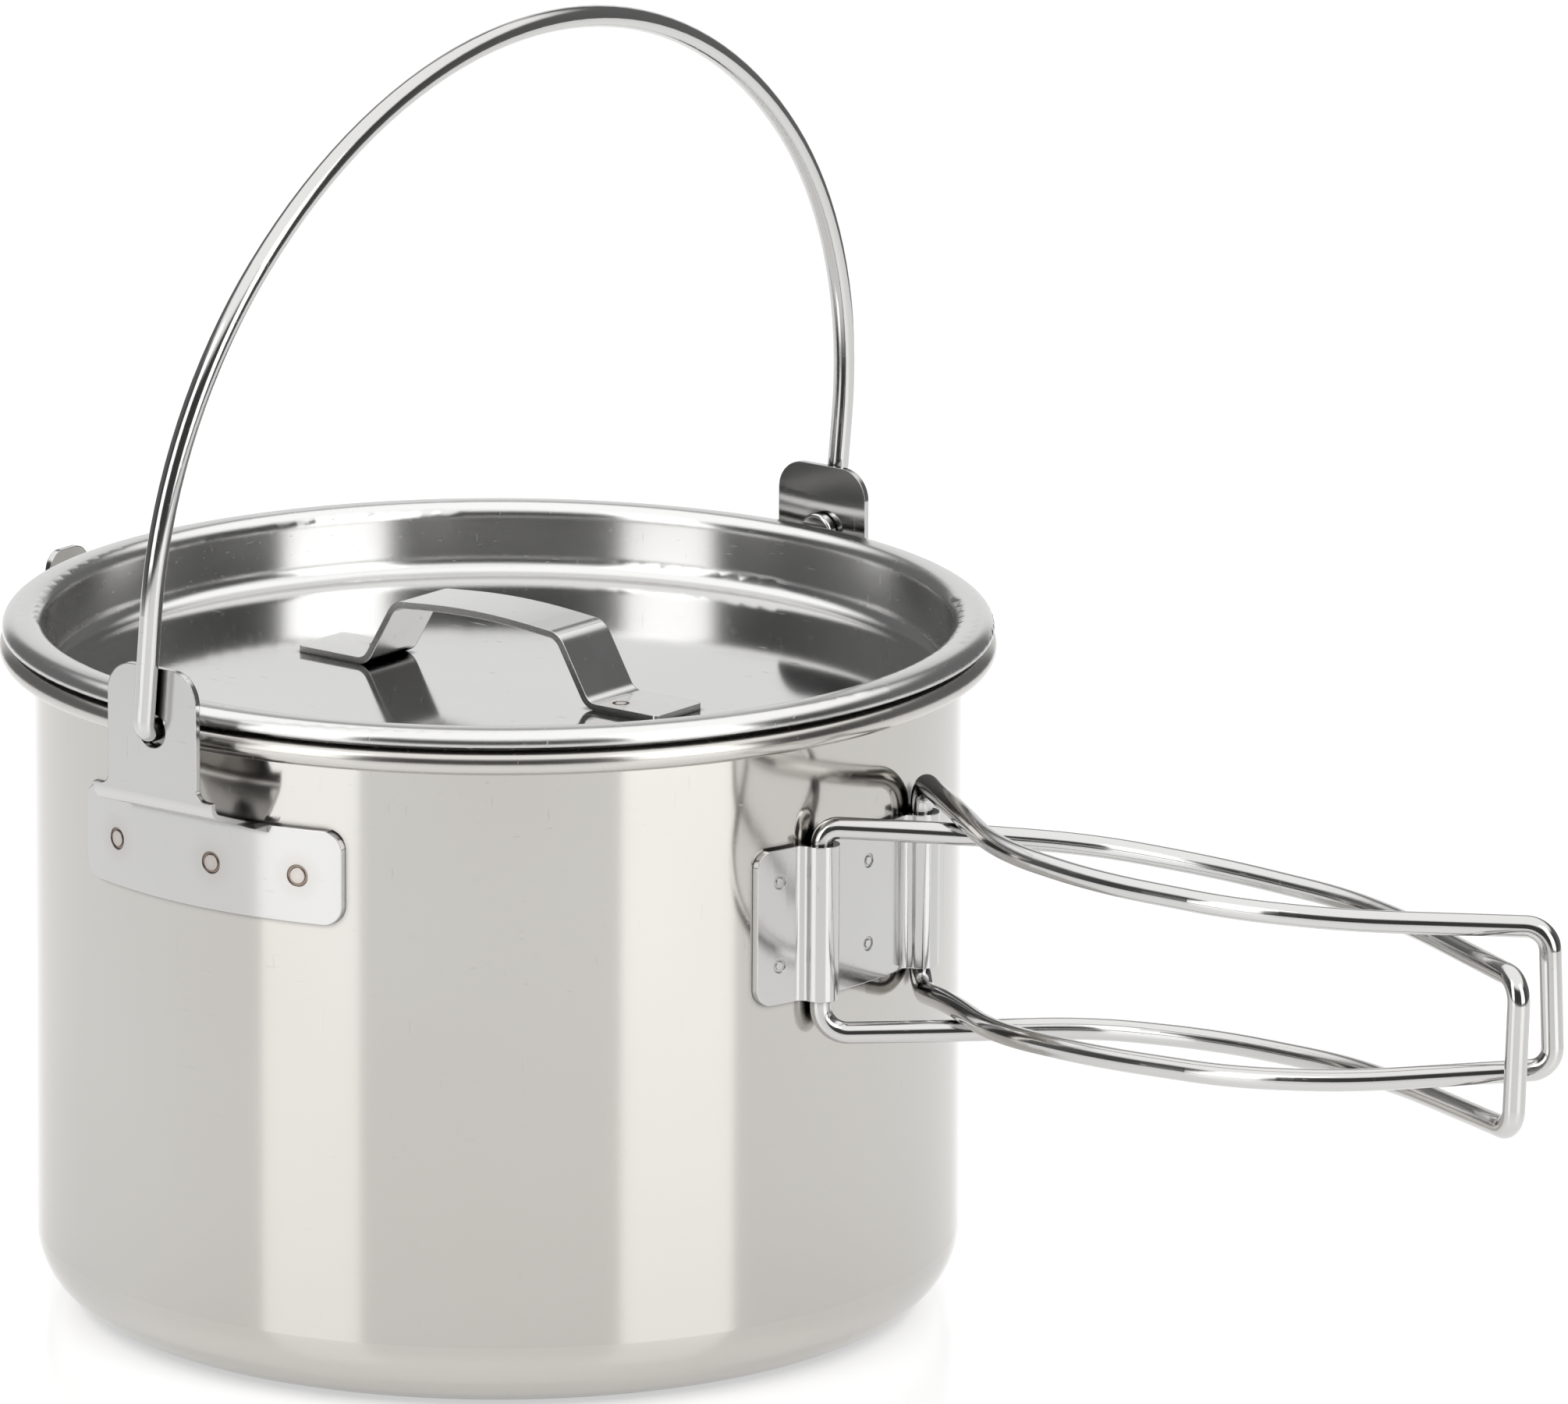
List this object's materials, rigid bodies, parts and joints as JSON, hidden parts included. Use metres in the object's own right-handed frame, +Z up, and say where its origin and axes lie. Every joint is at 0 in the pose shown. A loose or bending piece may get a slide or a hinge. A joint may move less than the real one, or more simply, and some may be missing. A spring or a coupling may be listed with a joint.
{
  "type": "camping cooking pot",
  "caption": "Round steel camping pot with a wire bail on ears, a folding two-loop wire side handle and a recessed lid with a strap handle.",
  "frame": {"origin": "centre of the pot's flat underside", "axes": "+Z up along the pot's axis, +X along the unfolded side handle, Y along the bail's pivot axis"},
  "size_m": [0.2876, 0.174, 0.2051],
  "materials": {
    "pot_steel": "polished stainless steel",
    "fitting_steel": "polished stamped stainless sheet",
    "wire_steel": "bright drawn stainless wire",
    "lid_steel": "mirror-polished stainless steel",
    "strap_steel": "satin stainless strip"
  },
  "bodies": {
    "pot": {"pot_body": "pot_steel", "bail_ear_left": "fitting_steel", "bail_ear_right": "fitting_steel", "tipping_lug": "fitting_steel", "handle_bracket": "fitting_steel"},
    "bail": {"bail": "wire_steel"},
    "loop_left": {"handle_loop_left": "wire_steel"},
    "loop_right": {"handle_loop_right": "wire_steel"},
    "lid": {"lid_pan": "lid_steel", "lid_strap": "strap_steel"}
  },
  "joints": [
    {"name": "bail_swing", "type": "hinge", "parent": "pot", "child": "bail", "pos_m": [0, 0, 0.1063], "axis": [0, 1, 0], "range_deg": [-134, 90]},
    {"name": "loop_left_fold", "type": "hinge", "parent": "pot", "child": "loop_left", "pos_m": [0.0735, -0.01256, 0.0747], "axis": [0, 0, -1], "range_deg": [0, 138]},
    {"name": "loop_right_fold", "type": "hinge", "parent": "pot", "child": "loop_right", "pos_m": [0.0735, 0.01256, 0.0747], "axis": [0, 0, 1], "range_deg": [0, 138]},
    {"name": "lid_lift", "type": "slide", "parent": "pot", "child": "lid", "axis": [0, 0, 1], "range_m": [0, 0.025]}
  ]
}
